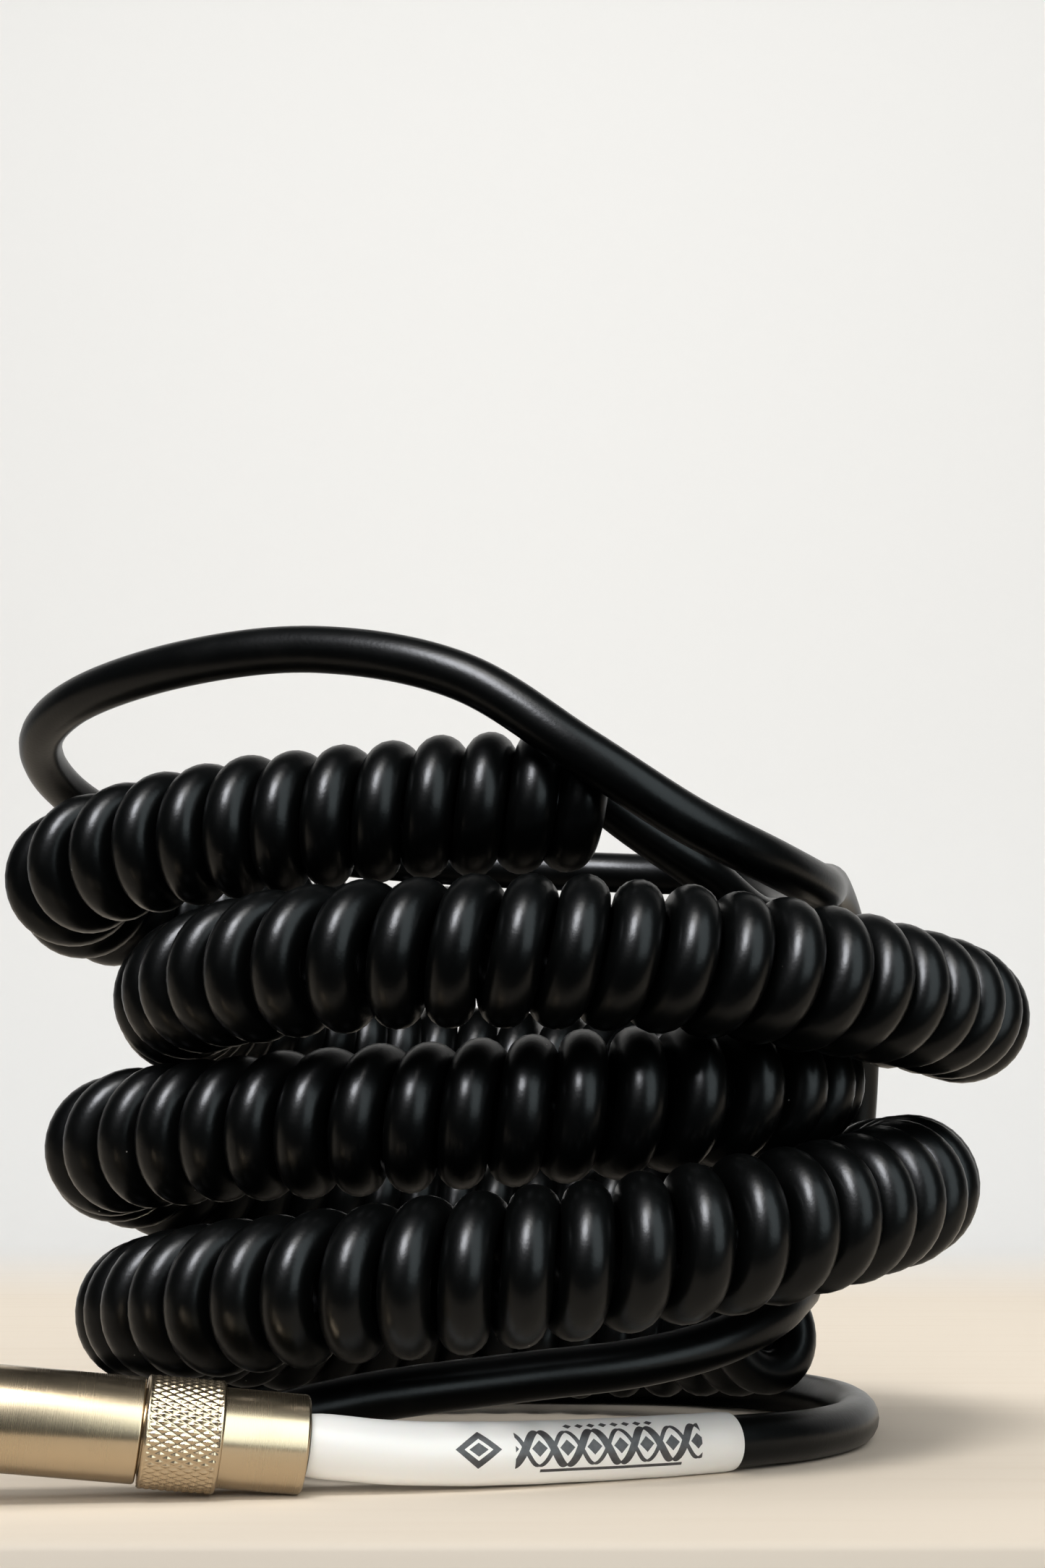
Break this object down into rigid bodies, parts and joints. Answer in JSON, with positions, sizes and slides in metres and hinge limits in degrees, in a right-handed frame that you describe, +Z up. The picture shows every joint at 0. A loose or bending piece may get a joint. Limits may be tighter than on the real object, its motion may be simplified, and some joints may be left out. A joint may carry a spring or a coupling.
{
  "type": "curly instrument lead",
  "caption": "Curly audio lead wound in a pile of loops, with a straight jack plug, screw-on barrel, knurled clamp nut and heat-shrink sleeve at both ends.",
  "frame": {"origin": "on the table, under the middle of the whole lead as it lies", "axes": "+X along the longer side of the pile, away from the tips of both plugs; +Y from the front plug towards the back of the pile; +Z up"},
  "size_m": [0.2156, 0.179, 0.1372],
  "materials": {
    "black_jacket": "smooth glossy black PVC",
    "white_shrink": "semi-gloss white heat-shrink, printed",
    "satin_gold_metal": "satin champagne-gold plate, fine turning lines",
    "plated_contact": "smooth gold plate",
    "black_insulator": "moulded black nylon",
    "clear_plastic": "milky clear plastic",
    "tinned_lug": "tinned sheet metal",
    "copper_wire": "bare copper"
  },
  "bodies": {
    "lead": {"plug_a_tip_contact": "plated_contact", "plug_a_tip_insulator": "black_insulator", "plug_a_sleeve_contact": "plated_contact", "plug_a_insulating_washer": "black_insulator", "plug_a_tip_lug": "tinned_lug", "plug_a_ground_lug": "tinned_lug", "plug_a_dielectric_core": "clear_plastic", "plug_a_centre_conductor": "copper_wire", "plug_a_shield_drain": "copper_wire", "plug_a_printed_sleeve": "white_shrink", "plug_b_tip_contact": "plated_contact", "plug_b_tip_insulator": "black_insulator", "plug_b_sleeve_contact": "plated_contact", "plug_b_insulating_washer": "black_insulator", "plug_b_tip_lug": "tinned_lug", "plug_b_ground_lug": "tinned_lug", "plug_b_dielectric_core": "clear_plastic", "plug_b_centre_conductor": "copper_wire", "plug_b_shield_drain": "copper_wire", "plug_b_printed_sleeve": "white_shrink", "lead_tail_a": "black_jacket", "lead_tail_b": "black_jacket", "curl_loop_1": "black_jacket", "curl_loop_2": "black_jacket", "curl_loop_3": "black_jacket", "curl_loop_4": "black_jacket"},
    "liner_a": {"plug_a_liner": "clear_plastic"},
    "barrel_a": {"plug_a_barrel": "satin_gold_metal"},
    "chuck_a": {"plug_a_chuck": "black_insulator"},
    "nut_a": {"plug_a_clamp_nut": "satin_gold_metal"},
    "liner_b": {"plug_b_liner": "clear_plastic"},
    "barrel_b": {"plug_b_barrel": "satin_gold_metal"},
    "chuck_b": {"plug_b_chuck": "black_insulator"},
    "nut_b": {"plug_b_clamp_nut": "satin_gold_metal"}
  },
  "joints": [
    {"name": "liner_a_slide", "type": "slide", "parent": "lead", "child": "liner_a", "axis": [-0.9767, -0.187, 0.105], "range_m": [-0.0055, 0]},
    {"name": "barrel_a_turn", "type": "hinge", "parent": "liner_a", "child": "barrel_a", "pos_m": [-0.05622, -0.07735, 0.01153], "axis": [-0.9767, -0.187, 0.105], "range_deg": [-1800, 0]},
    {"name": "chuck_a_slide", "type": "slide", "parent": "barrel_a", "child": "chuck_a", "axis": [-0.9767, -0.187, 0.105], "range_m": [-0.0035, 0]},
    {"name": "nut_a_turn", "type": "hinge", "parent": "chuck_a", "child": "nut_a", "pos_m": [-0.02594, -0.07155, 0.00828], "axis": [-0.9767, -0.187, 0.105], "range_deg": [-1080, 0]},
    {"name": "liner_b_slide", "type": "slide", "parent": "lead", "child": "liner_b", "axis": [-0.9995, 0.03, -0.004], "range_m": [-0.0055, 0]},
    {"name": "barrel_b_turn", "type": "hinge", "parent": "liner_b", "child": "barrel_b", "pos_m": [-0.0132, 0.08148, 0.00804], "axis": [-0.9995, 0.03, -0.004], "range_deg": [-1800, 0]},
    {"name": "chuck_b_slide", "type": "slide", "parent": "barrel_b", "child": "chuck_b", "axis": [-0.9995, 0.03, -0.004], "range_m": [-0.0035, 0]},
    {"name": "nut_b_turn", "type": "hinge", "parent": "chuck_b", "child": "nut_b", "pos_m": [0.01778, 0.08055, 0.00816], "axis": [-0.9995, 0.03, -0.004], "range_deg": [-1080, 0]}
  ],
  "couplings": [
    {"joint": "liner_a_slide", "follows": "barrel_a_turn", "m_per_rad": 0.00015915},
    {"joint": "chuck_a_slide", "follows": "nut_a_turn", "m_per_rad": 0.00015915},
    {"joint": "liner_b_slide", "follows": "barrel_b_turn", "m_per_rad": 0.00015915},
    {"joint": "chuck_b_slide", "follows": "nut_b_turn", "m_per_rad": 0.00015915}
  ]
}
